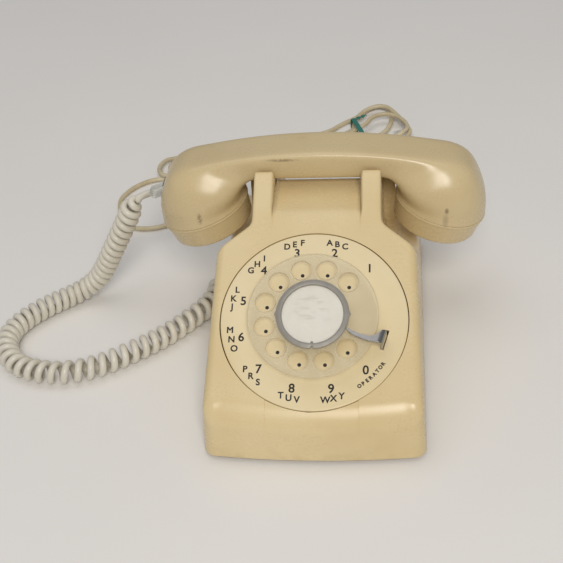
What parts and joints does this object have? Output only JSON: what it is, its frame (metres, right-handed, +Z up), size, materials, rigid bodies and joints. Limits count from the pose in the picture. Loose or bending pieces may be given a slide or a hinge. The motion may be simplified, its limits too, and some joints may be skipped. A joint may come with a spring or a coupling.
{
  "type": "rotary telephone",
  "caption": "Desk telephone with a rotary dial, a handset lying in its cradle, a curly handset cord and a tied line cord.",
  "frame": {"origin": "middle of the telephone's footprint, on the table, measured without the cords", "axes": "+X to the user's right, +Y away from the user, +Z up"},
  "size_m": [0.3269, 0.4154, 0.124],
  "materials": {
    "ivory_housing": "glossy moulded plastic, a little yellowed",
    "ivory_handset": "glossy moulded plastic",
    "ring_plastic": "glossy moulded plastic with printed characters",
    "clear_plastic": "clear acrylic",
    "paper": "white card",
    "grey_metal": "dull grey metal",
    "bright_metal": "bright plated steel",
    "steel": "zinc plated steel",
    "painted_steel": "grey painted sheet steel",
    "brass": "brass",
    "bell_metal": "plated bell metal",
    "phenolic": "brown phenolic",
    "dark_plastic": "dark moulded plastic",
    "nylon": "white nylon",
    "coil_winding": "taped copper winding",
    "rubber": "black rubber",
    "felt": "soft pad",
    "capsule_metal": "pierced aluminium",
    "curly_vinyl": "glossy grey white vinyl",
    "line_vinyl": "glossy ivory vinyl",
    "tie_plastic": "green twist tie"
  },
  "bodies": {
    "base": {"housing": "ivory_housing", "base_plate": "painted_steel", "rubber_feet": "rubber", "housing_screws": "steel", "number_ring": "ring_plastic", "finger_stop": "bright_metal", "dial_frame": "steel", "dial_brackets": "steel", "governor_bracket": "steel", "governor_cup": "brass", "return_spring": "steel", "pulse_contacts": "brass", "network_block": "dark_plastic", "terminal_screws": "brass", "ringer_frame": "steel", "ringer_coil": "coil_winding", "gong_left": "bell_metal", "gong_right": "bell_metal", "gong_screws": "steel", "loudness_bracket": "steel", "hook_bracket": "steel", "hook_pin": "steel", "hook_spring": "steel", "hook_contacts": "phenolic", "base_jack": "dark_plastic", "base_plug": "clear_plastic", "line_jack": "dark_plastic", "line_plug": "clear_plastic", "curly_cord": "curly_vinyl", "line_cord_lead": "line_vinyl", "line_cord_hank": "line_vinyl", "line_cord_end": "line_vinyl", "hank_tie": "tie_plastic", "wall_plug": "clear_plastic"},
    "dial_rotor": {"fingerwheel": "clear_plastic", "card_retainer": "grey_metal", "number_card": "paper", "card_cover": "clear_plastic", "main_shaft": "steel", "main_gear": "brass"},
    "pinion": {"pinion_shaft": "steel", "pulse_cam": "phenolic", "worm_wheel": "nylon"},
    "governor": {"governor_spindle": "steel", "governor_weights": "brass"},
    "handset": {"handset_shell": "ivory_handset", "transmitter_cap": "ivory_handset", "receiver_cap": "ivory_handset", "transmitter_capsule": "capsule_metal", "receiver_capsule": "dark_plastic", "transmitter_cup": "dark_plastic", "receiver_pad": "felt", "handset_jack": "dark_plastic", "handset_plug": "clear_plastic"},
    "hook": {"hook_lever": "brass"},
    "left_plunger": {"plunger_left": "nylon"},
    "right_plunger": {"plunger_right": "nylon"},
    "clapper_body": {"clapper": "steel"},
    "loudness": {"loudness_wheel": "dark_plastic"}
  },
  "joints": [
    {"name": "dial_turn", "type": "hinge", "parent": "base", "child": "dial_rotor", "pos_m": [0, -0.053, 0.063], "axis": [0, 0.4924, -0.8704], "range_deg": [0, 320], "stiffness_Nm_per_rad": 0.004, "springref_deg": -114.59, "deforming": ["return_spring"]},
    {"name": "pinion_spin", "type": "hinge", "parent": "base", "child": "pinion", "pos_m": [0, -0.07556, 0.05024], "axis": [0, 0.4924, -0.8704], "range_deg": [-1601, 1]},
    {"name": "governor_spin", "type": "hinge", "parent": "base", "child": "governor", "pos_m": [0, -0.07347, 0.01954], "axis": [1, 0, 0], "range_deg": [-1, 6401]},
    {"name": "handset_lift", "type": "slide", "parent": "base", "child": "handset", "axis": [0, 0, 1], "range_m": [0, 0.07], "deforming": ["curly_cord"]},
    {"name": "left_plunger_slide", "type": "slide", "parent": "base", "child": "left_plunger", "axis": [0, 0, 1], "range_m": [0, 0.005]},
    {"name": "right_plunger_slide", "type": "slide", "parent": "base", "child": "right_plunger", "axis": [0, 0, 1], "range_m": [0, 0.005]},
    {"name": "hook_turn", "type": "hinge", "parent": "base", "child": "hook", "pos_m": [0, 0.014, 0.046], "axis": [1, 0, 0], "range_deg": [0, 8], "deforming": ["hook_spring"]},
    {"name": "clapper_swing", "type": "hinge", "parent": "base", "child": "clapper_body", "pos_m": [0, 0.061, 0.02], "axis": [0, 0, 1], "range_deg": [-7, 7]},
    {"name": "loudness_turn", "type": "hinge", "parent": "base", "child": "loudness", "pos_m": [0.047, 0.022, 0.0126], "axis": [1, 0, 0], "range_deg": [-60, 60]}
  ],
  "couplings": [
    {"joint": "pinion_spin", "follows": "dial_turn", "ratio": -5},
    {"joint": "governor_spin", "follows": "dial_turn", "ratio": 20},
    {"joint": "left_plunger_slide", "follows": "handset_lift", "ratio": 0.071},
    {"joint": "right_plunger_slide", "follows": "handset_lift", "ratio": 0.071},
    {"joint": "hook_turn", "follows": "handset_lift", "rad_per_m": 1.87}
  ]
}
